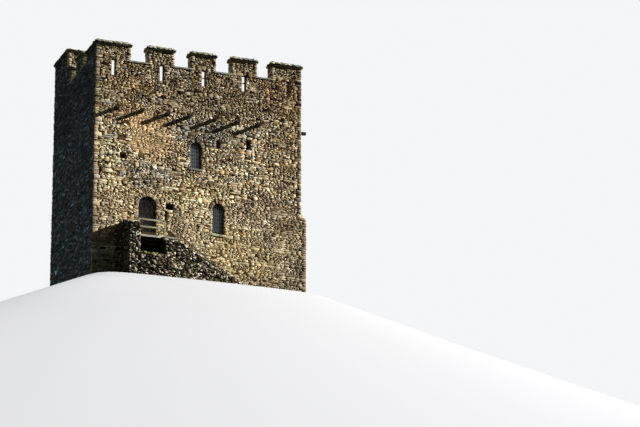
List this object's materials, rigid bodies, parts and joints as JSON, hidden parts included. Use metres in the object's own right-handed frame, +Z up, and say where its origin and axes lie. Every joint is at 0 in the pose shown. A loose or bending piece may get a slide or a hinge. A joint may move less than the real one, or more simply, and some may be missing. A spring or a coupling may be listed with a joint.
{
  "type": "rectangular castle keep",
  "caption": "Rubble stone castle keep with battlements, stair turret, opening entrance door and ruined stepped forebuilding.",
  "frame": {"origin": "ground level in the middle of the keep's front face", "axes": "+X to the right along the front as seen from outside, +Y from the front face into the keep, +Z up"},
  "size_m": [13.94, 12.25, 17.74],
  "materials": {
    "stone": "rough coursed rubble, weathered",
    "cap_stone": "rough slab, lichen",
    "fore_stone": "broken dark rubble, moss",
    "slate": "split slate",
    "floor_timber": "sawn oak boards",
    "grey_timber": "weathered grey oak",
    "door_timber": "dark planked oak",
    "iron": "wrought black",
    "glass": "leaded panes"
  },
  "bodies": {
    "keep": {"front_wall_left": "stone", "front_wall_below_door": "stone", "front_wall_over_door": "stone", "front_wall_middle": "stone", "front_wall_below_window": "stone", "front_wall_over_window": "stone", "front_wall_right": "stone", "left_wall": "stone", "right_wall": "stone", "back_wall": "stone", "right_plinth": "stone", "roof_gables": "stone", "front_parapet": "stone", "left_parapet": "stone", "right_parapet": "stone", "back_parapet": "stone", "front_merlons": "stone", "left_merlons": "stone", "right_merlons": "stone", "back_merlons": "stone", "turret_walls": "stone", "front_caps": "cap_stone", "side_caps": "cap_stone", "back_caps": "cap_stone", "sill_slabs": "cap_stone", "turret_roof": "cap_stone", "door_step": "cap_stone", "stub_wall": "fore_stone", "pit_wall": "fore_stone", "stair_core": "fore_stone", "stair_rubble": "fore_stone", "stair_steps": "fore_stone", "roof_front_slope": "slate", "roof_back_slope": "slate", "roof_ridge": "slate", "spouts": "slate", "first_floor": "floor_timber", "second_floor": "floor_timber", "bridge_deck": "grey_timber", "bridge_railing": "grey_timber", "wall_handrail": "grey_timber", "door_pintles": "iron", "window_glass": "glass"},
    "door": {"door_leaf": "door_timber", "door_straps": "iron"}
  },
  "joints": [
    {"name": "door_swing", "type": "hinge", "parent": "keep", "child": "door", "pos_m": [-3.924, 0.673, 3.63], "axis": [0, 0, 1], "range_deg": [0, 90]}
  ]
}
